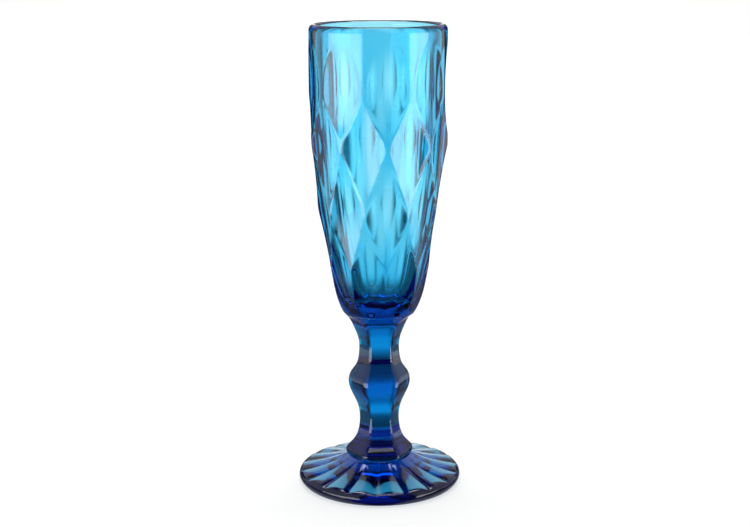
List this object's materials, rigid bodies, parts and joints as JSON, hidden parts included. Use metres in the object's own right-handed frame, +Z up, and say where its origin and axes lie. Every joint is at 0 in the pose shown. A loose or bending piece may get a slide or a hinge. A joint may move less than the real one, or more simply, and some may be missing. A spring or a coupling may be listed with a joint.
{
  "type": "champagne flute",
  "caption": "Tall pressed-glass champagne flute with a diamond-faceted bowl, a six-sided stem with a knop, and a round fluted foot.",
  "frame": {"origin": "on the table, under the middle of the foot", "axes": "+Z up along the stem's axis, -Y the front"},
  "size_m": [0.071, 0.071, 0.2],
  "materials": {
    "blue_glass": "fire-polished smooth"
  },
  "bodies": {
    "root": {"bowl": "blue_glass", "stem": "blue_glass", "foot": "blue_glass"}
  },
  "joints": []
}
